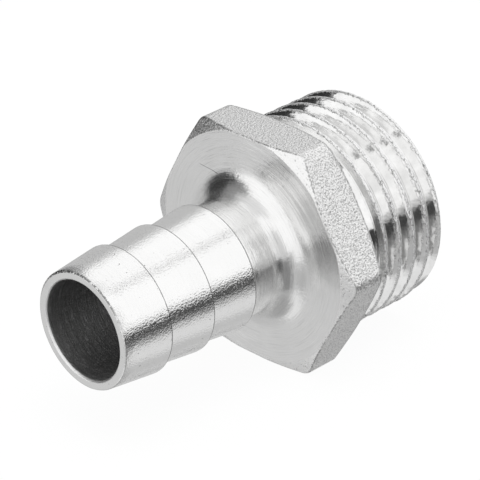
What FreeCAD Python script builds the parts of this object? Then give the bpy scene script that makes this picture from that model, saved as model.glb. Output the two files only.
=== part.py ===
"""Hose tail: a barbed tail for a 12 mm hose, a spanner hexagon and a 1/2 inch parallel pipe thread.

The whole fitting is one turned piece of plated brass, drawn in millimetres.
It lies as it would on a bench, resting on one flat of the hexagon:
  X runs along the axis, from the barbs (-X) towards the thread (+X),
  Z points up, square to the top flat of the hexagon,
  the origin is on the axis, in the plane of the shoulder between hexagon and thread.
"""
import FreeCAD, Part
import os
import Sketcher

os.makedirs("parts", exist_ok=True)
doc = FreeCAD.newDocument("hose_tail")
sheet = doc.addObject("Spreadsheet::Sheet", "Sizes")

# Sizes that can be set by themselves, in millimetres and degrees.
sizes = {
    # Barbed tail
    "hose_bore": 9.3,          # diameter of the waterway through the tail
    "tube_diameter": 11.0,     # outside of the tail at its tip and between the barbs
    "barb_diameter": 12.1,     # across the crest of a barb
    "barb_pitch": 5.0,         # from one barb to the next
    "barb_count": 3,
    "barb_back": 0.05,         # length of the nearly square step behind a crest
    "neck_length": 5.2,        # plain tube between the last barb and the hexagon
    "neck_fillet": 2.5,        # radius where the neck runs out into the hexagon
    # Hexagon
    "across_flats": 22.0,      # spanner size
    "hexagon_length": 4.4,     # thickness along the axis
    "corner_round": 1.3,       # radius of the six long edges
    "turned_face": 22.2,       # diameter of the turned circle on each face
    "bevel_angle": 22.5,       # slope of the bevels that take off the corners
    # Thread
    "threads_per_inch": 14,
    "thread_diameter": 20.8,   # across the crests
    "thread_length": 10.0,     # from the shoulder to the end of the fitting
    "flank_angle": 27.5,       # slope of each thread flank
    "end_chamfer": 0.5,        # bevel on the end of the thread
    "collar_diameter": 19.6,   # plain collar between the shoulder and the thread
    "collar_length": 1.4,      # length of that collar, before the slope up to the thread
    "cutter_overlap": 0.2,     # how far the thread cutter reaches outside the crests
    "cutter_gap": 1.1,         # least gap between the thread cutter and the shoulder
    "lead_in": 1.52,           # distance beyond the end face at which the cutter starts
    # Bores
    "end_bore": 15.0,          # diameter of the wide bore at the thread end
    "end_bore_depth": 11.0,    # depth of the wide bore, before the cone that narrows it
    "cone_angle": 59.0,        # slope of that cone to the axis
    "mouth_chamfer": 0.15,     # bevel round the mouth of each bore
}
# Sizes and places on the axis that follow from them.
derived = {
    "tail_length": "=barb_count * barb_pitch + neck_length",
    "front_face": "=0 - hexagon_length",
    "tip": "=front_face - tail_length",
    "bevel_reach": "=0.6 * across_flats",
    "bevel_run": "=(bevel_reach - turned_face / 2) * tan(bevel_angle)",
    "thread_pitch": "=25.4 / threads_per_inch",
    "thread_depth": "=0.640327 * thread_pitch",
    "slope_end": "=collar_length + (thread_diameter - collar_diameter) / 2",
    "core_radius": "=thread_diameter / 2 - thread_depth",
    "root_half": "=thread_pitch / 12",
    "cutter_top": "=thread_diameter / 2 + cutter_overlap",
    "cutter_half": "=root_half + (cutter_top - core_radius) * tan(flank_angle)",
    "cutter_start": "=thread_length + lead_in",
    "cutter_travel": "=cutter_start - cutter_half - cutter_gap",
    "cone_back": "=thread_length - end_bore_depth",
    "cone_run": "=(end_bore - hose_bore) / 2 / tan(cone_angle)",
}
for row, (name, entry) in enumerate({**sizes, **derived}.items(), start=1):
    sheet.set(f"A{row}", name)
    sheet.set(f"B{row}", str(entry))
    sheet.setAlias(f"B{row}", name)
doc.recompute()

body = doc.addObject("PartDesign::Body", "HoseTail")
body.Label = "Hose tail"


def now(formula):
    """The present value of a formula in the names of the sheet."""
    return float(body.evalExpression(formula))


def sketch_on(role, name):
    """An empty sketch on one of the body's own origin planes."""
    sketch = body.newObject("Sketcher::SketchObject", name)
    plane = next(item for item in body.Origin.OriginFeatures if item.Role == role)
    sketch.AttachmentSupport = [(plane, "")]
    sketch.MapMode = "FlatFace"
    return sketch


def bind(sketch, kind, targets, formula):
    """Add a dimension to a sketch and tie it to the sheet."""
    index = sketch.addConstraint(Sketcher.Constraint(kind, *targets, now(formula)))
    sketch.setExpression(f"Constraints[{index}]", formula)


def outline(sketch, *corners):
    """Draw a closed outline through corners given as (place on the axis, radius) formulas.

    "0" puts a corner on an axis of the sketch. Every other distance stays tied to the sheet.
    """
    first = sketch.GeometryCount
    points = [FreeCAD.Vector(now(place), now(radius), 0) for place, radius in corners]
    for start, end in zip(points, points[1:] + points[:1]):
        sketch.addGeometry(Part.LineSegment(start, end))
    for step, (place, radius) in enumerate(corners):
        line = first + step
        previous = first + (step - 1) % len(corners)
        sketch.addConstraint(Sketcher.Constraint("Coincident", previous, 2, line, 1))
        if place == "0":
            sketch.addConstraint(Sketcher.Constraint("PointOnObject", line, 1, -2))
        elif now(place) < 0:
            bind(sketch, "DistanceX", (line, 1, -1, 1), f"-({place})")
        else:
            bind(sketch, "DistanceX", (-1, 1, line, 1), place)
        if radius == "0":
            sketch.addConstraint(Sketcher.Constraint("PointOnObject", line, 1, -1))
        else:
            bind(sketch, "DistanceY", (-1, 1, line, 1), radius)


def turned(kind, name, sketch):
    """Turn a sketch once round the X axis, to add material or to cut it away."""
    feature = body.newObject(kind, name)
    feature.Profile = sketch
    feature.ReferenceAxis = (sketch, ["H_Axis"])
    feature.Angle = 360
    return feature


def padded(name, sketch, formula):
    """Pad a sketch from the shoulder towards the barbs."""
    feature = body.newObject("PartDesign::Pad", name)
    feature.Profile = sketch
    feature.Reversed = True
    feature.setExpression("Length", formula)
    return feature


def rounded(name, base, formula, wanted):
    """Round the edges of a feature that pass the test."""
    doc.recompute()
    edges = [f"Edge{n}" for n, edge in enumerate(base.Shape.Edges, start=1) if wanted(edge)]
    if not edges:
        raise RuntimeError(f"no edge to round for {name}")
    feature = body.newObject("PartDesign::Fillet", name)
    feature.Base = (base, edges)
    feature.Radius = now(formula)
    feature.setExpression("Radius", formula)
    return feature


# The hexagon, with two of its flats level and its long edges rounded as on a forging.
hexagon_sketch = sketch_on("YZ_Plane", "HexagonOutline")
to_corner = FreeCAD.Vector(now("Sizes.across_flats / sqrt(3)"), 0, 0)
turn = FreeCAD.Rotation(FreeCAD.Vector(0, 0, 1), 60)
for side in range(6):
    next_corner = turn.multVec(to_corner)
    hexagon_sketch.addGeometry(Part.LineSegment(to_corner, next_corner))
    to_corner = next_corner
round_corners = Part.Circle(FreeCAD.Vector(), FreeCAD.Vector(0, 0, 1), to_corner.Length)
circle = hexagon_sketch.addGeometry(round_corners, True)
hexagon_sketch.addConstraint(Sketcher.Constraint("Coincident", circle, 3, -1, 1))
for side in range(6):
    hexagon_sketch.addConstraint(Sketcher.Constraint("Coincident", (side - 1) % 6, 2, side, 1))
    hexagon_sketch.addConstraint(Sketcher.Constraint("PointOnObject", side, 1, circle))
for side in range(1, 6):
    hexagon_sketch.addConstraint(Sketcher.Constraint("Equal", 0, side))
hexagon_sketch.addConstraint(Sketcher.Constraint("PointOnObject", 0, 1, -1))
bind(hexagon_sketch, "Diameter", (circle,), "2 * Sizes.across_flats / sqrt(3)")
hexagon = padded("Hexagon", hexagon_sketch, "Sizes.hexagon_length")


def long_edge(edge):
    """Whether an edge runs the whole thickness of the hexagon."""
    box = edge.BoundBox
    return abs(box.XLength - now("Sizes.hexagon_length")) < 0.001 and box.YLength + box.ZLength < 0.001


corners = rounded("Corners", hexagon, "Sizes.corner_round", long_edge)

# Conical bevels on both faces take off the corners and leave a turned circle.
bevel_sketch = sketch_on("XY_Plane", "Bevels")
outline(
    bevel_sketch,
    ("Sizes.front_face", "Sizes.turned_face / 2"),
    ("Sizes.front_face", "Sizes.bevel_reach"),
    ("Sizes.front_face + Sizes.bevel_run", "Sizes.bevel_reach"),
)
outline(
    bevel_sketch,
    ("0", "Sizes.turned_face / 2"),
    ("0", "Sizes.bevel_reach"),
    ("0 - Sizes.bevel_run", "Sizes.bevel_reach"),
)
bevels = turned("PartDesign::Groove", "HexagonBevels", bevel_sketch)

# The tube runs from the tip of the tail to the shoulder, through the hexagon.
tube_sketch = sketch_on("YZ_Plane", "TubeCircle")
tube_radius = now("Sizes.tube_diameter / 2")
tube_sketch.addGeometry(Part.Circle(FreeCAD.Vector(), FreeCAD.Vector(0, 0, 1), tube_radius))
tube_sketch.addConstraint(Sketcher.Constraint("Coincident", 0, 3, -1, 1))
bind(tube_sketch, "Diameter", (0,), "Sizes.tube_diameter")
tube = padded("Tube", tube_sketch, "Sizes.tail_length + Sizes.hexagon_length")


def neck_root(edge):
    """Whether an edge is the circle where the tube meets the hexagon."""
    if not isinstance(edge.Curve, Part.Circle):
        return False
    same_radius = abs(edge.Curve.Radius - now("Sizes.tube_diameter / 2")) < 0.001
    return same_radius and abs(edge.Curve.Center.x - now("Sizes.front_face")) < 0.001


neck = rounded("NeckFillet", tube, "Sizes.neck_fillet", neck_root)

# One barb: a long cone up to its crest, then a nearly square step down to the tube.
# It is repeated towards the hexagon.
barb_sketch = sketch_on("XY_Plane", "BarbProfile")
outline(
    barb_sketch,
    ("Sizes.tip", "Sizes.hose_bore / 2"),
    ("Sizes.tip", "Sizes.tube_diameter / 2"),
    ("Sizes.tip + Sizes.barb_pitch - Sizes.barb_back", "Sizes.barb_diameter / 2"),
    ("Sizes.tip + Sizes.barb_pitch", "Sizes.tube_diameter / 2"),
    ("Sizes.tip + Sizes.barb_pitch", "Sizes.hose_bore / 2"),
)
barb = turned("PartDesign::Revolution", "Barb", barb_sketch)
doc.recompute()
barbs = body.newObject("PartDesign::LinearPattern", "Barbs")
barbs.Originals = [barb]
barbs.Direction = (barb_sketch, ["H_Axis"])
barbs.Mode = "Spacing"
barbs.setExpression("Offset", "Sizes.barb_pitch")
barbs.setExpression("Occurrences", "Sizes.barb_count")
body.Tip = barbs

# The blank for the thread: a plain collar at the shoulder, a slope up to full width, a bevelled end.
blank_sketch = sketch_on("XY_Plane", "ThreadBlank")
outline(
    blank_sketch,
    ("0", "0"),
    ("0", "Sizes.collar_diameter / 2"),
    ("Sizes.collar_length", "Sizes.collar_diameter / 2"),
    ("Sizes.slope_end", "Sizes.thread_diameter / 2"),
    ("Sizes.thread_length - Sizes.end_chamfer", "Sizes.thread_diameter / 2"),
    ("Sizes.thread_length", "Sizes.thread_diameter / 2 - Sizes.end_chamfer"),
    ("Sizes.thread_length", "0"),
)
blank = turned("PartDesign::Revolution", "Blank", blank_sketch)

# The waterway: the narrow bore of the tail, a drilled cone and the wide bore of the thread end.
bore_sketch = sketch_on("XY_Plane", "BoreProfile")
outline(
    bore_sketch,
    ("Sizes.tip", "0"),
    ("Sizes.tip", "Sizes.hose_bore / 2 + Sizes.mouth_chamfer"),
    ("Sizes.tip + Sizes.mouth_chamfer", "Sizes.hose_bore / 2"),
    ("Sizes.cone_back - Sizes.cone_run", "Sizes.hose_bore / 2"),
    ("Sizes.cone_back", "Sizes.end_bore / 2"),
    ("Sizes.thread_length - Sizes.mouth_chamfer", "Sizes.end_bore / 2"),
    ("Sizes.thread_length", "Sizes.end_bore / 2 + Sizes.mouth_chamfer"),
    ("Sizes.thread_length", "0"),
)
bore = turned("PartDesign::Groove", "Waterway", bore_sketch)
doc.recompute()
before = bore.Shape.Volume

# The thread: a flat-rooted groove wound right-handed from beyond the end face to the collar,
# where it ends at full depth in one step.
cutter_sketch = sketch_on("XY_Plane", "CutterProfile")
outline(
    cutter_sketch,
    ("Sizes.cutter_start - Sizes.root_half", "Sizes.core_radius"),
    ("Sizes.cutter_start + Sizes.root_half", "Sizes.core_radius"),
    ("Sizes.cutter_start + Sizes.cutter_half", "Sizes.cutter_top"),
    ("Sizes.cutter_start - Sizes.cutter_half", "Sizes.cutter_top"),
)
thread = body.newObject("PartDesign::SubtractiveHelix", "Thread")
thread.Profile = cutter_sketch
thread.ReferenceAxis = (cutter_sketch, ["H_Axis"])
thread.Mode = "pitch-height-angle"
thread.Pitch = now("Sizes.thread_pitch")
thread.Height = now("Sizes.cutter_travel")
thread.setExpression("Pitch", "Sizes.thread_pitch")
thread.setExpression("Height", "Sizes.cutter_travel")
thread.LeftHanded = False
thread.Reversed = True
body.Tip = thread
doc.recompute()

for item in doc.Objects:
    if "Invalid" in item.State or "Error" in item.State:
        raise RuntimeError(f"{item.Label} could not be built")
if body.Shape.isNull() or not body.Shape.isValid() or len(body.Shape.Solids) != 1:
    raise RuntimeError("the fitting is not one valid solid")
if not 0.8 * before < body.Shape.Volume < before - 1:
    raise RuntimeError("the thread was not cut as meant")
body.Shape.exportStep("parts/hose_tail.step")
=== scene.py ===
"""Hose tail with a spanner hexagon and a parallel pipe thread, in nickel-plated brass.

The fitting is one closed mesh, wound round the X axis ring by ring: out over the tip, along the
barbs, the fillet, the hexagon, the collar and the thread, and back through the bores. It lies on
one flat of its hexagon on a white studio floor. Everything is in metres, in the frame of the
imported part.
"""

import math

import bpy
from mathutils import Matrix, Vector, noise


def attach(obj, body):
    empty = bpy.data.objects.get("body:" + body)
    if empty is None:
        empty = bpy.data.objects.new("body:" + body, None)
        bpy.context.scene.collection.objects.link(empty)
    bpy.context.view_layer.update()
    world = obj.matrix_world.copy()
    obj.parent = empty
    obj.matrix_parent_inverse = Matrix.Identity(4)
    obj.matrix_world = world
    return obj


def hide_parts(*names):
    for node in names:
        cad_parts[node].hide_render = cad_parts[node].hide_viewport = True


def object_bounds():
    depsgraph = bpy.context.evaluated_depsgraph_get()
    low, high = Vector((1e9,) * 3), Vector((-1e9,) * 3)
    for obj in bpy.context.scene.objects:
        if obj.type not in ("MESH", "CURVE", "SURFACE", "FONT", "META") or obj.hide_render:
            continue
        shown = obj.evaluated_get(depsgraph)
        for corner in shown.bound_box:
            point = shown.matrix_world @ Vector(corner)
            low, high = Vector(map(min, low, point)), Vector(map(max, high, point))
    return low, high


bl_info = {
    "name": "Hose tail",
    "version": (1, 0, 0),
    "blender": (4, 5, 0),
    "location": "View3D > Sidebar > Hose tail",
    "description": "Builds a plated hose tail and the studio it is shown in",
    "category": "Add Mesh",
}

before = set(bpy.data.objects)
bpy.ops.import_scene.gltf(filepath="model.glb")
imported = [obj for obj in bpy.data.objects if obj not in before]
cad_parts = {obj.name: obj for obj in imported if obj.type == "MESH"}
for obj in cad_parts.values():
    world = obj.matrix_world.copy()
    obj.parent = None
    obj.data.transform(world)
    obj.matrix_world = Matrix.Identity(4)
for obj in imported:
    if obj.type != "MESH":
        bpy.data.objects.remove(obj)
CAD_LOW, CAD_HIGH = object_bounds()

MM = 0.001
BODY = "root"
NODE = "hose_tail"


def length(name, description, default):
    """A length property, given in metres."""
    return bpy.props.FloatProperty(
        name=name, description=description, default=default, min=0.0, unit="LENGTH", precision=5
    )


def place(name, description, default):
    """A place on the axis, given in metres from the shoulder."""
    return bpy.props.FloatProperty(
        name=name, description=description, default=default, unit="LENGTH", precision=5
    )


def slope(name, description, default):
    """An angle property."""
    return bpy.props.FloatProperty(
        name=name, description=description, default=default, subtype="ANGLE"
    )


def share(name, description, default):
    """A property between 0 and 1."""
    return bpy.props.FloatProperty(
        name=name, description=description, default=default, min=0.0, max=1.0, subtype="FACTOR"
    )


class HoseTailBarbs(bpy.types.PropertyGroup):
    """Sizes of the barbed tail."""

    tip: place("Tip", "Where the tip is on the axis", CAD_LOW.x)
    bore: length("Bore", "Diameter of the waterway through the tail", 9.3 * MM)
    tube: length("Tube", "Outside diameter between the barbs", 11.0 * MM)
    crest: length("Crest", "Diameter across the crest of a barb", 12.1 * MM)
    pitch: length("Pitch", "Distance from one barb to the next", 5.0 * MM)
    back: length("Back", "Length of the nearly square step behind a crest", 0.05 * MM)
    count: bpy.props.IntProperty(
        name="Count", description="Number of barbs", default=3, min=1, max=12
    )
    fillet: length("Fillet", "Radius where the neck runs out into the hexagon", 2.5 * MM)
    mouth: length("Mouth", "Bevel round the mouth of each bore", 0.15 * MM)


class HoseTailHexagon(bpy.types.PropertyGroup):
    """Sizes of the spanner hexagon."""

    across_flats: length("Across flats", "Spanner size", 22.0 * MM)
    thickness: length("Thickness", "Thickness along the axis", 4.4 * MM)
    corner: length("Corner", "Radius of the six long edges", 1.3 * MM)
    turned: length("Turned circle", "Diameter of the turned circle on each face", 22.2 * MM)
    bevel: slope("Bevel", "Slope of the bevels on the corners", math.radians(22.5))
    worn_edge: length("Worn edge", "How far tumbling and plating round the edges", 0.12 * MM)


class HoseTailThread(bpy.types.PropertyGroup):
    """Sizes of the threaded end."""

    crest: length("Crest", "Diameter across the crests", 20.8 * MM)
    length: length("Length", "From the shoulder to the end of the fitting", 10.0 * MM)
    pitch: length("Pitch", "Distance from one crest to the next", 25.4 / 14 * MM)
    depth: length("Depth", "Depth of the grooves", 1.162 * MM)
    flank: slope("Flank", "Slope of each flank", math.radians(27.5))
    first_crest: place("First crest", "Where the first crest is at the far corner", 1.536 * MM)
    collar: length("Collar", "Diameter of the plain collar behind the thread", 19.6 * MM)
    chamfer: length("Chamfer", "Bevel on the end of the thread", 0.5 * MM)
    burr: length("Burr", "How uneven the crests are", 0.08 * MM)
    bore: length("Bore", "Diameter of the wide bore", 15.0 * MM)
    bore_back: place("Bore back", "Where the wide bore ends on the axis", -1.0 * MM)
    cone: slope("Cone", "Slope of the cone that joins the bores", math.radians(59))


class HoseTailFinish(bpy.types.PropertyGroup):
    """Colours and gloss of the plating."""

    nickel: bpy.props.FloatVectorProperty(
        name="Nickel", description="Colour of the plating", default=(0.965, 0.964, 0.96),
        subtype="COLOR", min=0.0, max=1.0,
    )
    dull: bpy.props.FloatVectorProperty(
        name="Dull plating", description="Colour of the thin plating inside the bores",
        default=(0.5, 0.5, 0.5), subtype="COLOR", min=0.0, max=1.0,
    )
    turned: share("Turned roughness", "Roughness of the turned surfaces", 0.12)
    forged: share("Forged roughness", "Roughness of the forged and blasted flats", 0.3)
    thread: share("Thread roughness", "Roughness of the thread", 0.06)
    bore: share("Bore roughness", "Roughness of the bores", 0.42)


class HoseTailStage(bpy.types.PropertyGroup):
    """The studio round the fitting."""

    floor: length("Floor", "Width of the floor", 1.2)
    lamp: bpy.props.FloatProperty(
        name="Lamp", description="Power of the soft lamp", default=1.1, min=0.0, unit="POWER"
    )
    lamp_width: length("Lamp width", "Diameter of the soft lamp", 0.35)
    lamp_place: bpy.props.FloatVectorProperty(
        name="Lamp place", description="Where the soft lamp hangs",
        default=(-0.05, -0.12, 0.45), subtype="TRANSLATION", unit="LENGTH", precision=5,
    )
    table: share("Table", "How light the table looks in the metal", 0.52)
    wall: share("Wall", "How light the wall behind the fitting looks in the metal", 0.52)
    card: share("Card", "How light the black card looks in the metal", 0.03)
    lens: bpy.props.FloatProperty(
        name="Lens", description="Focal length in millimetres", default=207.87, min=1.0
    )
    camera: bpy.props.FloatVectorProperty(
        name="Camera", description="Place of the camera",
        default=(-0.156063, -0.157613, 0.117335), subtype="TRANSLATION", unit="LENGTH", precision=5,
    )
    target: bpy.props.FloatVectorProperty(
        name="Target", description="Point at the middle of the picture",
        default=(-0.005856, -0.000212, 0.001454), subtype="TRANSLATION", unit="LENGTH", precision=5,
    )
    roll: slope("Roll", "Turn of the camera about its line of sight", math.radians(-1.93))


class Value:
    """An output of a node, for use in sums such as 1 - mask * 0.4."""

    def __init__(self, nodes, socket):
        self.nodes = nodes
        self.socket = socket

    def sum(self, operation, *others):
        """Add a Math node with this value first."""
        sockets = dict(enumerate((self, *others)))
        return self.nodes.add("ShaderNodeMath", {"operation": operation}, sockets)

    def reflected(self, operation, other):
        """Add a Math node with this value second."""
        return self.nodes.add("ShaderNodeMath", {"operation": operation}, {0: other, 1: self})

    def __add__(self, other):
        return self.sum("ADD", other)

    def __radd__(self, other):
        return self.reflected("ADD", other)

    def __sub__(self, other):
        return self.sum("SUBTRACT", other)

    def __rsub__(self, other):
        return self.reflected("SUBTRACT", other)

    def __mul__(self, other):
        return self.sum("MULTIPLY", other)

    def __rmul__(self, other):
        return self.reflected("MULTIPLY", other)

    def __truediv__(self, other):
        return self.sum("DIVIDE", other)

    def __rtruediv__(self, other):
        return self.reflected("DIVIDE", other)

    def root(self):
        return self.sum("SQRT")

    def absolute(self):
        """The value without its sign."""
        return self.sum("ABSOLUTE")

    def larger(self, other):
        return self.sum("MAXIMUM", other)

    def between(self, low, high):
        """0 below low, 1 above high and a smooth rise between, or a fall if low is above high."""
        ends = {"From Min": low, "From Max": high, "To Min": 0.0, "To Max": 1.0}
        if low > high:
            ends = {"From Min": high, "From Max": low, "To Min": 1.0, "To Max": 0.0}
        return self.nodes.add(
            "ShaderNodeMapRange", {"interpolation_type": "SMOOTHSTEP"}, {"Value": self, **ends}
        )


class Nodes:
    """The nodes of one material or world."""

    def __init__(self, tree):
        self.tree = tree
        tree.nodes.clear()

    def add(self, kind, settings=None, sockets=None, output=0):
        """Add a node: its type, its settings, what goes into its sockets, and the output wanted."""
        node = self.tree.nodes.new(kind)
        for name, setting in (settings or {}).items():
            setattr(node, name, setting)
        for name, entry in (sockets or {}).items():
            if isinstance(entry, Value):
                self.tree.links.new(entry.socket, node.inputs[name])
            else:
                node.inputs[name].default_value = entry
        return Value(self, node.outputs[output]) if node.outputs else node

    def outputs(self, kind, names, settings=None, sockets=None):
        """Add a node and return several of its outputs."""
        first = self.add(kind, settings, sockets)
        return [Value(self, first.socket.node.outputs[name]) for name in names]

    def vector(self, x, y, z):
        return self.add("ShaderNodeCombineXYZ", None, {"X": x, "Y": y, "Z": z})

    def split(self, vector):
        return self.outputs("ShaderNodeSeparateXYZ", ("X", "Y", "Z"), None, {0: vector})

    def noise(self, vector, scale, detail=2.0, roughness=0.5):
        sockets = {"Scale": scale, "Detail": detail, "Roughness": roughness}
        return self.add("ShaderNodeTexNoise", None, {"Vector": vector, **sockets})

    def cells(self, vector, scale):
        sockets = {"Vector": vector, "Scale": scale}
        return self.add("ShaderNodeTexVoronoi", None, sockets, "Distance")

    def blend(self, factor, first, second):
        """Mix two colours."""
        sockets = {"Factor": factor, 6: first, 7: second}
        return self.add("ShaderNodeMix", {"data_type": "RGBA"}, sockets, 2)

    def bump(self, height, depth, normal=None):
        """Raise the surface by the height, from 0 to 1, times a depth in metres."""
        sockets = {"Height": height, "Distance": depth, "Strength": 1.0}
        if normal is not None:
            sockets["Normal"] = normal
        return self.add("ShaderNodeBump", None, sockets)


class Place:
    """Where a point of the fitting lies, in millimetres and as a direction round the axis."""

    def __init__(self, nodes):
        self.nodes = nodes
        metres = nodes.add("ShaderNodeTexCoord", None, None, "Object")
        to_millimetres = {0: metres, "Scale": 1 / MM}
        self.point = nodes.add("ShaderNodeVectorMath", {"operation": "SCALE"}, to_millimetres)
        self.x, self.y, self.z = nodes.split(self.point)
        self.radius = (self.y * self.y + self.z * self.z).root()
        self.side = self.y / self.radius
        self.up = self.z / self.radius

    def toward(self, angle):
        """1 at an angle round the axis, in degrees from the top to the camera, less beside it."""
        turn = math.radians(angle)
        return self.up * math.cos(turn) - self.side * math.sin(turn)

    def streaks(self, along, spacing, spread, detail=2.0, roughness=0.5):
        """Noise drawn out round the axis, as a turning tool leaves it."""
        vector = self.nodes.vector(along * spacing, self.side * spread, self.up * spread)
        return self.nodes.noise(vector, 1.0, detail, roughness)


def plated(name, roughness):
    """A metal material and its nodes, still without colour or relief."""
    material = bpy.data.materials.new(name)
    material.use_nodes = True
    nodes = Nodes(material.node_tree)
    return material, nodes, Place(nodes), {"Metallic": 1.0, "Roughness": roughness}


def complete(material, nodes, sockets):
    """Put the shader and the output at the end of a material."""
    shader = nodes.add("ShaderNodeBsdfPrincipled", None, sockets)
    nodes.add("ShaderNodeOutputMaterial", None, {"Surface": shader})
    return material


def rgb(colour, factor=1.0):
    """A colour as four numbers, made lighter or darker."""
    return (colour[0] * factor, colour[1] * factor, colour[2] * factor, 1.0)


def turned_tube(scene):
    """Tip, barbs and neck: bright and finely grained, with turning lines and dark crest lines of
    painted shade.
    """
    finish, barbs = scene.hose_tail_finish, scene.hose_tail_barbs
    material, nodes, at, sockets = plated("nickel_turned_tube", finish.turned)
    tip, pitch, crest = barbs.tip / MM, barbs.pitch / MM, barbs.crest / MM / 2
    tube = barbs.tube / MM / 2
    lines = at.streaks(at.x, 11.0, 1.3, 3.0, 0.7)
    grain = nodes.noise(at.point, 6.5, 1.0)
    peel = nodes.noise(at.point, 2.0, 2.0)
    patches = nodes.noise(at.point, 0.35, 2.0)
    pits = nodes.noise(at.point, 3.1, 2.0).between(0.27, 0.23)

    # A dark line of painted shade along each crest, and nicks on the upper edge of the tip.
    from_tip = at.x - tip
    from_barb = (from_tip / pitch).sum("FRACT") * pitch + (grain - 0.5) * 0.1
    line = from_barb.between(pitch - 0.18, pitch - 0.11)
    line = line * at.radius.between(crest - 0.14, crest - 0.08)
    nicks = nodes.noise(at.point, 3.6, 3.0, 0.7).between(0.56, 0.48) * from_tip.between(0.17, 0.06)
    nicks = nicks * at.radius.between(tube - 0.2, tube - 0.1) * at.up.between(0.2, 0.8)
    dark = (line * 0.85).larger(nicks * 0.85).larger(pits * 0.6)
    plating = nodes.blend(patches, rgb(finish.nickel, 0.97), rgb(finish.nickel, 1.04))
    plating = nodes.blend(lines.between(0.52, 0.7) * 0.08, plating, rgb(finish.nickel, 0.45))
    sockets["Base Color"] = nodes.blend(dark, plating, rgb(finish.nickel, 0.16))
    sockets["Roughness"] = finish.turned + patches * 0.05
    relief = nodes.bump(lines, 0.006 * MM)
    relief = nodes.bump(grain, 0.023 * MM, relief)
    relief = nodes.bump(peel, 0.015 * MM, relief)
    sockets["Normal"] = nodes.bump(1.0 - pits.larger(nicks), 0.03 * MM, relief)
    return complete(material, nodes, sockets)


def turned_face(scene):
    """Neck, fillet, faces of the hexagon and end of the thread: rings left by the facing tool, with
    a painted reflection on the face and painted shade under the neck.
    """
    finish = scene.hose_tail_finish
    material, nodes, at, sockets = plated("nickel_turned_face", finish.turned)
    face = -scene.hose_tail_hexagon.thickness / MM
    bend = face - scene.hose_tail_barbs.fillet / MM
    along = at.x + at.radius
    rings = at.streaks(along, 13.0, 2.0, 1.0)
    waves = at.streaks(along, 1.5, 1.2)
    fine = at.streaks(along, 16.0, 4.0)
    marks = at.streaks(along, 11.0, 2.4).between(0.58, 0.68)
    peel = nodes.noise(at.point, 2.4, 2.0)
    patches = nodes.noise(at.point, 0.45, 3.0)
    plating = nodes.blend(patches, rgb(finish.nickel, 0.95), rgb(finish.nickel, 1.02))

    # A painted dark reflection on one side of the face, turning rings painted darker above it as a
    # painted reflection, and a band of painted shade under the neck.
    painted_dark_reflection = (at.toward(66) + patches * 0.1).between(0.93, 1.03) * at.radius.between(8.0, 8.9)
    plating = nodes.blend(painted_dark_reflection * 0.72, plating, rgb(finish.nickel, 0.55))
    # Turning rings painted darker over one sector of the face: a painted reflection.
    painted_dark_rings = at.toward(42).between(0.93, 0.99) * at.radius.between(7.2, 8.4)
    painted_dark_rings = painted_dark_rings * (rings.between(0.35, 0.6) * 0.36 + 0.08)
    plating = nodes.blend(painted_dark_rings, plating, rgb(finish.nickel, 0.4))
    # A band of painted shade under the neck.
    under = at.toward(166) + (fine - 0.5) * 0.08
    painted_neck_shade = under.between(-0.02, 0.06) * under.between(0.5, 0.06) * at.side.between(-0.3, -0.6)
    painted_neck_shade = painted_neck_shade * at.x.between(bend + 0.2, bend - 0.3) * 0.68
    plating = nodes.blend(painted_neck_shade, plating, rgb(finish.nickel, 0.35))

    # Darker turning marks, deepest on the neck, and one straight scratch across the face.
    plating = nodes.blend(fine.between(0.58, 0.7) * 0.14, plating, rgb(finish.nickel, 0.5))
    scratch_slope, scratch_height = 0.062, 5.97
    scratch = (at.z - at.y * scratch_slope - scratch_height).absolute().between(0.06, 0.02)
    scratch = scratch * at.x.between(face + 1.4, face + 0.4)
    scratch = scratch * at.y.between(3.5, 3.8) * at.y.between(6.4, 6.0)
    dark = (marks * at.radius.between(6.4, 5.8) * 0.22).larger(marks * 0.1).larger(scratch * 0.6)
    sockets["Base Color"] = nodes.blend(dark, plating, rgb(finish.nickel, 0.3))
    sockets["Roughness"] = finish.turned + 0.03 + patches * 0.08
    relief = nodes.bump(rings * (at.radius.between(7.2, 8.2) * 0.68 + 0.32), 0.03 * MM)
    relief = nodes.bump(waves, 0.022 * MM, relief)
    sockets["Normal"] = nodes.bump(peel, 0.016 * MM, relief)
    return complete(material, nodes, sockets)


def turned_bevel(scene):
    """Bevels and worn edges of the hexagon: smooth, with the grain of the forging just showing."""
    finish = scene.hose_tail_finish
    material, nodes, at, sockets = plated("nickel_turned_bevel", finish.turned)
    half = scene.hose_tail_hexagon.across_flats / MM / 2
    grain = nodes.noise(at.point, 5.5, 1.0)
    rings = at.streaks(at.radius, 7.0, 1.6)
    patches = nodes.noise(at.point, 0.6, 2.0)
    plating = nodes.blend(patches, rgb(finish.nickel, 0.97), rgb(finish.nickel, 1.04))
    plating = nodes.blend(grain.between(0.38, 0.28), plating, rgb(finish.nickel, 0.6))

    # A painted dark reflection: a broken line where the bevel meets the flats.
    pair = math.radians(60)
    across = (at.z * math.cos(pair) + at.y * math.sin(pair)).absolute()
    across = across.larger((at.z * math.cos(pair) - at.y * math.sin(pair)).absolute())
    across = across.larger(at.z.absolute()) + (patches - 0.5) * 0.1
    gaps = nodes.noise(at.point, 3.6, 2.0).between(0.42, 0.56)
    line = across.between(half - 0.12, half - 0.06) * gaps
    sockets["Base Color"] = nodes.blend(line * 0.55, plating, rgb(finish.nickel, 0.2))
    sockets["Roughness"] = finish.turned + 0.12 + patches * 0.08
    relief = nodes.bump(rings, 0.012 * MM)
    sockets["Normal"] = nodes.bump(grain, 0.036 * MM, relief)
    return complete(material, nodes, sockets)


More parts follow.
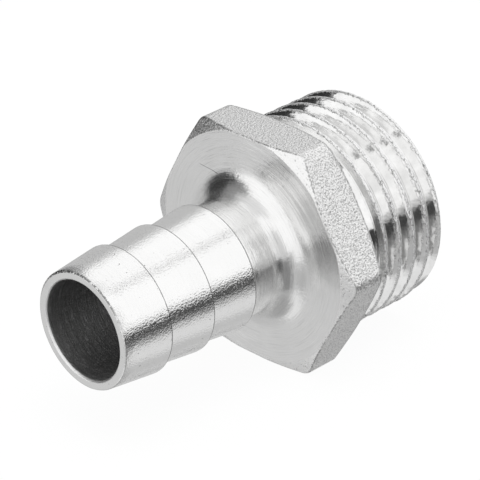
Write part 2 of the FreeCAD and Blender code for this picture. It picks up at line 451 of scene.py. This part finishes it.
def forged_flat(scene):
    """Flats of the hexagon: the fine-grained skin of the forging under the plating."""
    finish, hexagon = scene.hose_tail_finish, scene.hose_tail_hexagon
    material, nodes, at, sockets = plated("nickel_forged_flat", finish.forged)
    grain = nodes.noise(at.point, 7.0, 1.0)
    dents = nodes.cells(at.point, 5.0)
    patches = nodes.noise(at.point, 0.5, 2.0)
    plating = nodes.blend(patches, rgb(finish.nickel, 0.99), rgb(finish.nickel, 1.03))
    plating = nodes.blend(grain.between(0.6, 0.3), plating, rgb(finish.nickel, 0.54))

    # A painted dark reflection: a line along the edge of the back bevel.
    setback = (at.radius - hexagon.turned / MM / 2).larger(0.0) * math.tan(hexagon.bevel)
    line = (at.x + setback + (grain - 0.5) * 0.1).between(-0.25, -0.15)
    sockets["Base Color"] = nodes.blend(line * 0.6, plating, rgb(finish.nickel, 0.25))
    sockets["Roughness"] = finish.forged + patches * 0.1
    relief = nodes.bump(grain, 0.05 * MM)
    sockets["Normal"] = nodes.bump(dents, 0.03 * MM, relief)
    return complete(material, nodes, sockets)


def cut_thread(scene):
    """Collar and thread: smooth flanks with faint cutting lines and torn, frosty crests, painted
    lighter as a highlight, with painted shade beside them.
    """
    finish, thread = scene.hose_tail_finish, scene.hose_tail_thread
    material, nodes, at, sockets = plated("nickel_thread", finish.thread)
    lines = at.streaks(at.radius, 3.0, 5.0, 3.0, 0.6)
    tears = nodes.noise(at.point, 3.4, 4.0, 0.75)
    clouds = nodes.noise(at.point, 0.7, 3.0)

    # The torn crest with a painted highlight, the painted shade beside it and single nicks, by
    # their height under the top.
    top = thread.crest / MM / 2
    height = at.radius + (tears - 0.5) * 0.6
    crest = height.between(top - 0.14, top - 0.06)
    rim = height.between(top - 0.21, top - 0.16) * (1.0 - crest)
    nicks = nodes.noise(at.point, 2.6, 3.0, 0.7).between(0.57, 0.62)
    nicks = nicks * height.between(top - 0.22, top - 0.14)
    clouded = clouds.between(0.3, 0.7)
    plating = nodes.blend(clouded, rgb(finish.nickel, 0.91), rgb(finish.nickel, 1.02))
    plating = nodes.blend(rim * tears.between(0.56, 0.42) * 0.2, plating, rgb(finish.nickel, 0.2))
    # The crest painted lighter than the plating: a painted highlight.
    plating = nodes.blend(crest, plating, rgb(finish.nickel, 1.06))
    sockets["Base Color"] = nodes.blend(nicks * 0.7, plating, rgb(finish.nickel, 0.25))
    sockets["Roughness"] = finish.thread + clouds * 0.06 + crest * 0.24
    relief = nodes.bump(lines, 0.016 * MM)
    relief = nodes.bump(clouds, 0.026 * MM, relief)
    sockets["Normal"] = nodes.bump(tears * crest, 0.065 * MM, relief)
    return complete(material, nodes, sockets)


def dull_bore(scene):
    """Inside of the bores: thin dull plating with rings and scratches from the drill."""
    finish, barbs = scene.hose_tail_finish, scene.hose_tail_barbs
    material, nodes, at, sockets = plated("nickel_bore", finish.bore)
    rings = at.streaks(at.x, 7.0, 0.9, 3.0, 0.6)
    slanting = nodes.vector(at.x * 2.0 + at.side * 9.0, at.up * 5.0, at.x * 5.0)
    scratches = nodes.noise(slanting, 1.0, 2.0)
    grain = nodes.noise(at.point, 5.0, 2.0)
    lip = (at.x - barbs.tip / MM).between(0.5, 0.1)
    dull = nodes.blend(rings.between(0.35, 0.65), rgb(finish.dull, 0.85), rgb(finish.dull, 1.15))
    dull = nodes.blend(scratches.between(0.6, 0.7) * 0.4, dull, rgb(finish.dull, 1.6))
    sockets["Base Color"] = nodes.blend(lip, dull, rgb(finish.nickel, 0.95))
    sockets["Roughness"] = finish.bore + scratches.between(0.55, 0.7) * 0.12
    relief = nodes.bump(rings, 0.02 * MM)
    relief = nodes.bump(scratches, 0.015 * MM, relief)
    sockets["Normal"] = nodes.bump(grain, 0.02 * MM, relief)
    return complete(material, nodes, sockets)


TUBE, FACE, BEVEL, FLAT, THREAD, INSIDE = range(6)


def corner_centre(hexagon):
    """Distance from the axis to the centre of the arc that rounds a corner of the hexagon."""
    return (hexagon.across_flats / 2 - hexagon.corner) / math.cos(math.pi / 6)


def from_corner_to(hexagon, lean):
    """Angle at the axis between a corner and the point of its arc that leans so far from it."""
    return math.atan2(
        hexagon.corner * math.sin(lean), corner_centre(hexagon) + hexagon.corner * math.cos(lean)
    )


def hexagon_radius(hexagon, angle):
    """Distance from the axis to the side of the hexagon, over its flats and its rounded corners."""
    from_flat = (angle + math.pi / 6) % (math.pi / 3) - math.pi / 6
    from_corner = math.pi / 6 - abs(from_flat)
    if from_corner >= from_corner_to(hexagon, math.pi / 6):
        return hexagon.across_flats / 2 / math.cos(from_flat)
    centre = corner_centre(hexagon)
    sideways = centre * math.sin(from_corner)
    return centre * math.cos(from_corner) + math.sqrt(hexagon.corner**2 - sideways**2)


def column_angles(hexagon):
    """Angles round the axis, from the top towards the camera's side, closer at the corners."""
    angles = {round(math.radians(step), 7) for step in range(360)}
    for corner in range(6):
        middle = math.pi / 6 + corner * math.pi / 3
        for lean in (-30, -24, -18, -12, -6, 6, 12, 18, 24, 30):
            angles.add(round(middle + from_corner_to(hexagon, math.radians(lean)), 7))
    return sorted(angles)


class Lathe:
    """Collects the rings of a turned piece and joins each to the next."""

    def __init__(self, angles):
        self.angles = angles
        self.points = []
        self.faces = []
        self.finishes = []
        self.last = None
        self.first = None

    def point(self, x, radius, angle):
        """Add a corner of the mesh and return its number."""
        self.points.append((x, -radius * math.sin(angle), radius * math.cos(angle)))
        return len(self.points) - 1

    def face(self, corners, finish):
        """Add a face, leaving out corners that have run together."""
        before = corners[-1:] + corners[:-1]
        kept = [corner for corner, last in zip(corners, before) if corner != last]
        if len(set(kept)) > 2:
            self.faces.append(kept)
            self.finishes.append(finish)

    def join(self, ring, finish):
        """Join a ring of corners to the one before it."""
        if self.last is not None:
            count = len(ring)
            for here in range(count):
                there = (here + 1) % count
                self.face([self.last[here], self.last[there], ring[there], ring[here]], finish)
        else:
            self.first = ring
        self.last = ring

    def ring(self, finish, profile):
        """Add a ring whose place on the axis and radius are given for each angle."""
        self.join([self.point(*profile(angle), angle) for angle in self.angles], finish)

    def circle(self, finish, x, radius):
        """Add a plain circle."""
        self.ring(finish, lambda angle: (x, radius))

    def close(self, finish):
        """Join the last ring to the first."""
        self.join(self.first, finish)


def unevenness(x, angle, radius, scale, seed):
    """Smooth noise between -1 and 1 over the surface of a cylinder."""
    across, up = math.sin(angle) * radius, math.cos(angle) * radius
    return noise.noise(Vector((x * scale, across * scale, up * scale + seed)))


def turn_barbs(lathe, barbs, front):
    """The tip, the barbs, the neck and the fillet up to the hexagon's front face."""
    tube, crest, bore = barbs.tube / 2, barbs.crest / 2, barbs.bore / 2
    run = barbs.pitch - barbs.back

    # Worn edges, in millimetres: along the axis from the edge, and how far under it.
    worn_tip = ((0.0, 0.16), (0.012, 0.075), (0.05, 0.02), (0.12, -0.012))
    worn_crest = ((-0.14, 0.018), (-0.05, 0.01), (0.0, 0.03), (0.03, 0.08))
    dent = 0.022 * MM

    def crest_row(barb, start, along, drop):
        """A ring near a crest, a little dented."""
        def profile(angle):
            dented = dent * max(0.0, unevenness(start, angle, 1, 9, barb * 5.0))
            return start + run + along * MM, crest - drop * MM - dented
        return profile

    lathe.circle(TUBE, barbs.tip, bore + barbs.mouth)
    lathe.circle(TUBE, barbs.tip, bore + barbs.mouth + 0.06 * MM)
    for along, drop in worn_tip:
        lathe.circle(TUBE, barbs.tip + along * MM, tube - drop * MM)
    for barb in range(barbs.count):
        start = barbs.tip + barb * barbs.pitch
        if barb:
            lathe.circle(TUBE, start + 0.05 * MM, tube + 0.006 * MM)
        for part in (0.25, 0.5, 0.75, 0.93):
            lathe.circle(TUBE, start + run * part, tube + (crest - tube) * part)
        for along, drop in worn_crest:
            lathe.ring(TUBE, crest_row(barb, start, along, drop))
        lathe.circle(TUBE, start + barbs.pitch, tube + 0.06 * MM)
    neck = barbs.tip + barbs.count * barbs.pitch
    lathe.circle(TUBE, neck + 0.04 * MM, tube)
    bend = front - barbs.fillet
    lathe.circle(FACE, (neck + bend) / 2, tube)
    steps = 12
    for step in range(steps + 1):
        turn = math.pi / 2 * step / steps
        x = bend + barbs.fillet * math.sin(turn)
        lathe.circle(FACE, x, tube + barbs.fillet * (1 - math.cos(turn)))


def forge_hexagon(lathe, hexagon, front, inner):
    """The front face, the bevels, the flats and the back face."""
    circle = hexagon.turned / 2
    worn = hexagon.worn_edge

    # Rings over a worn edge: how deep and how far inside it, in shares of how far it is worn.
    edge_rows = ((0.0, 1.6), (0.0, 1.0), (0.22, 0.3))

    def setback(radius):
        """How far the bevel has cut back the face at a radius."""
        return max(0.0, radius - circle) * math.tan(hexagon.bevel)

    def front_or_back(edge, depth):
        """Place on the axis of a point at a depth under one of the two faces."""
        return front + depth if edge == "front" else -depth

    def face_row(edge, depth, inset):
        """A ring on a face, a little inside the edge of the hexagon."""
        def profile(angle):
            radius = hexagon_radius(hexagon, angle) - inset * worn
            return front_or_back(edge, setback(radius) + depth * worn), radius
        return profile

    def circle_row(edge, beyond):
        """A ring near the rim of the turned circle, or along the edge of a nearer flat."""
        def profile(angle):
            along_flat = hexagon_radius(hexagon, angle) - 2.2 * worn + 0.4 * beyond
            radius = min(circle + beyond, along_flat)
            return front_or_back(edge, setback(radius)), radius
        return profile

    def side_row(share_of_thickness):
        """A ring on the flats, at a share of the thickness."""
        def profile(angle):
            radius = hexagon_radius(hexagon, angle)
            start = front + setback(radius) + worn
            end = -setback(radius) - worn
            return start + (end - start) * share_of_thickness, radius
        return profile

    for radius in (inner + 0.7 * MM, inner + 1.5 * MM, circle - 0.9 * MM):
        lathe.circle(FACE, front, radius)
    for beyond in (-0.05, 0.0, 0.05):
        lathe.ring(BEVEL if beyond > 0 else FACE, circle_row("front", beyond * MM))
    for depth, inset in edge_rows:
        lathe.ring(BEVEL, face_row("front", depth, inset))
    for part in (0, 0.025, 0.2, 0.5, 0.8, 0.975, 1):
        lathe.ring(FLAT if part else BEVEL, side_row(part))
    for depth, inset in reversed(edge_rows):
        lathe.ring(BEVEL, face_row("back", depth, inset))
    for beyond in (0.05, 0.0, -0.05):
        lathe.ring(FACE if beyond < 0 else BEVEL, circle_row("back", beyond * MM))
    lathe.circle(FACE, 0, circle - 0.4 * MM)


def thread_profile(thread):
    """One turn of the thread: distances along the axis from the crest, and the depth there."""
    flank = math.tan(thread.flank)
    half = thread.pitch / 2
    root, rounding = 0.203 * MM, 0.03 * MM
    crest = half - thread.depth * flank - root
    side = [(0.0, 0.0), (0.6 * crest, rounding / 3), (crest, rounding)]
    for along in (0.16, 0.28, 0.4, 0.6):
        side.append((along * MM, (along * MM - crest) / flank + rounding))
    side += [(0.7 * MM, thread.depth - 0.07 * MM), (0.79 * MM, thread.depth - 0.012 * MM)]
    other_side = [(-along, depth) for along, depth in reversed(side[1:])]
    return other_side + side + [(half, thread.depth)]


def cut_thread_rows(lathe, thread):
    """The helical part of the mesh, from the collar to the end face."""
    profile = thread_profile(thread)
    pitch = thread.pitch
    collar, crest = thread.collar / 2, thread.crest / 2
    lead = thread.first_crest + pitch / 4
    start, end, touching = 0.9 * MM, thread.length, 0.001 * MM

    # Where the crests rise from the collar and the grooves are cut into it, and over what length.
    rise_start, rise_run = 1.2 * MM, 0.5 * MM
    cut_start, cut_run = 1.75 * MM, 0.6 * MM

    # The burr ends so far under the crest, and its noise runs round at this radius in millimetres.
    burr_depth, around = 0.12 * MM, 10.3

    def limited(x, radius):
        """Let the crests rise from the collar, the grooves run out on it and bevel the end."""
        rise = min(1.0, max(0.0, (x - rise_start) / rise_run))
        cut = min(1.0, max(0.0, (x - cut_start) / cut_run))
        part = rise if radius > collar else cut
        radius = collar + (radius - collar) * part * part * (3 - 2 * part)
        return min(radius, crest - thread.chamfer + thread.length - x)

    def radius_between(x, angle):
        """Radius at any place, by going along the profile."""
        along = (x - lead - pitch * angle / math.tau + pitch / 2) % pitch - pitch / 2
        for (s0, d0), (s1, d1) in zip([(-pitch / 2, thread.depth)] + profile, profile):
            if s0 <= along <= s1:
                return limited(x, crest - d0 - (d1 - d0) * (along - s0) / max(s1 - s0, 1e-9))
        return limited(x, crest - thread.depth)

    angles = lathe.angles
    per_turn = len(profile)
    first_turn = math.floor((start - pitch - lead) / pitch) - 1
    last_turn = math.ceil((end - lead) / pitch) + 1
    begin = [lathe.point(start, radius_between(start, angle), angle) for angle in angles]
    finish = [lathe.point(end, radius_between(end, angle), angle) for angle in angles]
    lathe.join(begin, THREAD)

    rows = []
    for turn in range(first_turn, last_turn + 1):
        for along, depth in profile:
            base = lead + turn * pitch + along
            burr = thread.burr * max(0.0, 1 - depth / burr_depth)
            row = []
            for column, angle in enumerate(angles):
                x = base + pitch * angle / math.tau
                if burr:
                    x += burr * unevenness(turn * pitch / MM, angle, around, 1.9, 7.0)
                if x <= start + touching:
                    row.append(begin[column])
                elif x >= end - touching:
                    row.append(finish[column])
                else:
                    worn = burr * abs(unevenness(turn * 3.1, angle, around, 2.3, 3.0))
                    row.append(lathe.point(x, limited(x, crest - depth - worn), angle))
            rows.append(row)

    def after(row, column):
        """The corner at a column, where the column after the last is the first of the next turn."""
        if column < len(angles):
            return rows[row][column]
        return rows[row + per_turn][0] if row + per_turn < len(rows) else finish[0]

    for row in range(len(rows) - 1):
        for column in range(len(angles)):
            near = [after(row, column), after(row, column + 1)]
            far = [after(row + 1, column + 1), after(row + 1, column)]
            lathe.face(near + far, THREAD)
    lathe.last = finish


def bore_inside(lathe, barbs, thread):
    """The end face, the wide bore, the cone and the waterway back to the tip."""
    wide, narrow, mouth = thread.bore / 2, barbs.bore / 2, barbs.mouth
    back = thread.bore_back
    cone_end = back - (wide - narrow) / math.tan(thread.cone)
    end, tip = thread.length, barbs.tip + mouth

    # Rings close beside an edge, on a bore or along and down the cone, keep the shading clean.
    beside, along, down = 0.1 * MM, 0.08 * MM, 0.14 * MM
    lathe.circle(FACE, end, wide + mouth + 1.0 * MM)
    lathe.circle(FACE, end, wide + mouth)
    for x, radius in (
        (end - mouth, wide),
        (end - mouth - beside, wide),
        (end / 2, wide),
        (back + beside, wide),
        (back, wide),
        (back - along, wide - down),
        (cone_end + along, narrow + down),
        (cone_end, narrow),
        (cone_end - beside, narrow),
    ):
        lathe.circle(INSIDE, x, radius)
    for part in range(1, 10):
        lathe.circle(INSIDE, cone_end + (tip - cone_end) * part / 10, narrow)
    lathe.circle(INSIDE, tip + 0.08 * MM, narrow)
    lathe.circle(INSIDE, tip, narrow)
    lathe.close(INSIDE)


class HOSETAIL_OT_turn_fitting(bpy.types.Operator):
    """Turn, forge, thread and bore the fitting as one closed mesh, and plate it"""

    bl_idname = "hose_tail.turn_fitting"
    bl_label = "Turn the fitting"

    def execute(self, context):
        scene = context.scene
        barbs, hexagon = scene.hose_tail_barbs, scene.hose_tail_hexagon
        thread = scene.hose_tail_thread
        front = -hexagon.thickness
        lathe = Lathe(column_angles(hexagon))
        turn_barbs(lathe, barbs, front)
        forge_hexagon(lathe, hexagon, front, barbs.tube / 2 + barbs.fillet)
        foot_of_collar = ((0, 0.12), (0.035, 0.035), (0.12, 0), (0.5, 0))
        for x, rise in foot_of_collar:
            lathe.circle(THREAD if x else FACE, x * MM, thread.collar / 2 + rise * MM)
        cut_thread_rows(lathe, thread)
        bore_inside(lathe, barbs, thread)

        mesh = bpy.data.meshes.new("turned_fitting")
        mesh.from_pydata(lathe.points, [], lathe.faces)
        for make in (turned_tube, turned_face, turned_bevel, forged_flat, cut_thread, dull_bore):
            mesh.materials.append(make(scene))
        mesh.polygons.foreach_set("material_index", lathe.finishes)
        mesh.polygons.foreach_set("use_smooth", [True] * len(lathe.faces))
        if mesh.validate():
            raise RuntimeError("the mesh of the fitting had faults")
        mesh.set_sharp_from_angle(angle=math.radians(50))
        fitting = bpy.data.objects.new("turned_fitting", mesh)
        scene.collection.objects.link(fitting)
        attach(fitting, BODY)
        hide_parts(NODE)
        return {"FINISHED"}


def light_studio(world, stage):
    """White for the camera. The metal shows plain soft panels, light and dark, in a white room."""
    world.use_nodes = True
    nodes = Nodes(world.node_tree)
    x, y, z = nodes.split(nodes.add("ShaderNodeTexCoord", None, None, "Generated"))
    level = (x * x + y * y).root().larger(0.001)

    def edge(height, start, end):
        """0 up to one elevation in degrees and 1 from the other on."""
        return height.between(math.sin(math.radians(start)), math.sin(math.radians(end)))

    def panel(azimuth, width, side, low, below, high, above):
        """Mask of an upright panel, where half a width of 180 goes all round."""
        mask = 1.0
        if width < 180:
            turn = math.radians(azimuth)
            facing = (x * math.cos(turn) + y * math.sin(turn)) / level
            outside, inside = math.cos(math.radians(width + side)), math.cos(math.radians(width))
            mask = facing.between(outside, inside)
        if low > -90:
            mask = edge(z, low - below, low) * mask
        if high < 90:
            mask = edge(z, high + above, high) * mask
        return mask

    # How light a panel is, then in degrees: its azimuth, half its width and how soft its sides are,
    # its lower edge and how soft that is, and its upper edge and how soft that is.
    panels = (
        # Overhead.
        (0.75, 0, 180, 0, 80, 8, 90, 0),
        (0.74, 145, 70, 18, 58, 8, 90, 0),
        # The table all round, darker straight below.
        (stage.table, 0, 180, 0, -90, 0, -3, 3),
        (0.36, 0, 180, 0, -90, 0, -70, 8),
        # Beyond the tip, on the table.
        (0.92, 178, 34, 12, -12, 12, -2, 3),
        (0.59, 134, 14, 10, -40, 8, -18, 8),
        (0.8, 176, 28, 10, -60, 8, -45, 9),
        (0.44, -168, 14, 8, -42, 8, -26, 6),
        # On the camera's side.
        (0.22, -12, 14, 8, -42, 6, -5, 5),
        (0.64, -104, 16, 10, 0, 4, 34, 18),
        (0.24, -98, 24, 10, -56, 8, -8, 6),
        (0.5, -68, 8, 8, -10, 4, 1, 7),
        (0.05, -58, 26, 14, -12, 17, -3, 2),
        (0.7, -54, 18, 8, -50, 6, -32, 6),
        # Behind the fitting, the first one low.
        (0.62, 26, 16, 10, -64, 6, -40, 8),
        (stage.wall, 57, 12, 8, -24, 6, 31, 12),
        (0.26, 97, 31, 4, -8, 8, 40, 32),
        (0.24, 122, 12, 4, 24, 6, 42, 24),
        (0.1, 98, 29, 5, -6, 6, 12, 24),
        (0.12, 75, 8, 4, -22, 8, -4, 4),
        (stage.card, 106, 22, 4, -2, 8, 14, 8),
    )
    shown = (1.0, 1.0, 1.0, 1.0)
    for light, *place_and_edges in panels:
        shown = nodes.blend(panel(*place_and_edges), shown, (light, light, light, 1.0))

    # The seam between two panels draws a thin grey line along the top of the tail.
    seam = (y * 0.959 + z * 0.283).absolute().between(0.05, 0.01) * x.between(0.2, 0.4)
    shown = nodes.blend(seam * 0.8, shown, (0.0, 0.0, 0.0, 1.0))

    # The metal sees the panels, the camera sees white and the floor is lit evenly.
    even_light, white = (0.9, 0.9, 0.9, 1.0), (1.0, 1.0, 1.0, 1.0)
    ray_kinds = ("Is Camera Ray", "Is Glossy Ray")
    camera_ray, glossy_ray = nodes.outputs("ShaderNodeLightPath", ray_kinds)
    colour = nodes.blend(glossy_ray, even_light, shown)
    colour = nodes.blend(camera_ray, colour, white)
    background = nodes.add("ShaderNodeBackground", None, {"Color": colour, "Strength": 1.0})
    nodes.add("ShaderNodeOutputWorld", None, {"Surface": background})


def floor_material():
    """White paper that keeps a faint shadow, and that can be looked through from below."""
    material = bpy.data.materials.new("white_floor")
    material.use_nodes = True
    nodes = Nodes(material.node_tree)
    paper = nodes.add("ShaderNodeBsdfDiffuse", None, {"Color": (0.9, 0.9, 0.9, 1)})
    glow = nodes.add("ShaderNodeEmission", None, {"Color": (1, 1, 1, 1), "Strength": 1.0})
    lit = nodes.add("ShaderNodeMixShader", None, {0: 0.95, 1: paper, 2: glow})
    clear = nodes.add("ShaderNodeBsdfTransparent")
    below = nodes.add("ShaderNodeNewGeometry", None, None, "Backfacing")
    floor = nodes.add("ShaderNodeMixShader", None, {0: below, 1: lit, 2: clear})
    nodes.add("ShaderNodeOutputMaterial", None, {"Surface": floor})
    return material


class HOSETAIL_OT_set_stage(bpy.types.Operator):
    """Lay the floor, hang the lamp, light the room and set up the camera"""

    bl_idname = "hose_tail.set_stage"
    bl_label = "Set the stage"

    def execute(self, context):
        scene = context.scene
        stage = scene.hose_tail_stage
        world = bpy.data.worlds.new("studio")
        scene.world = world
        light_studio(world, stage)

        half = stage.floor / 2
        mesh = bpy.data.meshes.new("studio_floor")
        corners = [(x * half, y * half, CAD_LOW.z) for x, y in ((-1, -1), (1, -1), (1, 1), (-1, 1))]
        mesh.from_pydata(corners, [], [(0, 1, 2, 3)])
        mesh.materials.append(floor_material())
        floor = bpy.data.objects.new("studio_floor", mesh)
        floor.visible_glossy = False
        scene.collection.objects.link(floor)

        lamp = bpy.data.lights.new("soft_lamp", "AREA")
        lamp.shape = "DISK"
        lamp.size = stage.lamp_width
        lamp.energy = stage.lamp
        hung = bpy.data.objects.new("soft_lamp", lamp)
        hung.location = stage.lamp_place
        hung.visible_glossy = False
        hung.rotation_euler = (-hung.location).to_track_quat("-Z", "Y").to_euler()
        scene.collection.objects.link(hung)

        camera = bpy.data.cameras.new("camera")
        camera.sensor_width = 36.0
        camera.lens = stage.lens
        camera.clip_start, camera.clip_end = 0.01, 10.0
        seen = bpy.data.objects.new("camera", camera)
        eye, target = Vector(stage.camera), Vector(stage.target)
        aim = (target - eye).to_track_quat("-Z", "Y").to_matrix().to_4x4()
        seen.matrix_world = Matrix.Translation(eye) @ aim @ Matrix.Rotation(stage.roll, 4, "Z")
        scene.collection.objects.link(seen)
        scene.camera = seen
        scene.view_settings.view_transform = "Standard"
        return {"FINISHED"}


class HOSETAIL_PT_panel(bpy.types.Panel):
    """The sizes, the finish and the buttons of the hose tail"""

    bl_idname = "HOSETAIL_PT_panel"
    bl_label = "Hose tail"
    bl_space_type = "VIEW_3D"
    bl_region_type = "UI"
    bl_category = "Hose tail"

    def draw(self, context):
        for title, name, group in GROUPS:
            box = self.layout.box()
            box.label(text=title)
            settings = getattr(context.scene, name)
            for entry in group.__annotations__:
                box.prop(settings, entry)
        for operator in OPERATORS:
            self.layout.operator(operator.bl_idname)


GROUPS = (
    ("Barbed tail", "hose_tail_barbs", HoseTailBarbs),
    ("Hexagon", "hose_tail_hexagon", HoseTailHexagon),
    ("Threaded end", "hose_tail_thread", HoseTailThread),
    ("Finish", "hose_tail_finish", HoseTailFinish),
    ("Stage", "hose_tail_stage", HoseTailStage),
)
OPERATORS = (HOSETAIL_OT_turn_fitting, HOSETAIL_OT_set_stage)


def register():
    for _, name, group in GROUPS:
        bpy.utils.register_class(group)
        setattr(bpy.types.Scene, name, bpy.props.PointerProperty(type=group))
    for kind in (*OPERATORS, HOSETAIL_PT_panel):
        bpy.utils.register_class(kind)


def unregister():
    for kind in reversed((*OPERATORS, HOSETAIL_PT_panel)):
        bpy.utils.unregister_class(kind)
    for _, name, group in reversed(GROUPS):
        delattr(bpy.types.Scene, name)
        bpy.utils.unregister_class(group)


def main():
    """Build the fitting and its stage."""
    register()
    bpy.ops.hose_tail.turn_fitting()
    bpy.ops.hose_tail.set_stage()


if __name__ == "__main__":
    main()
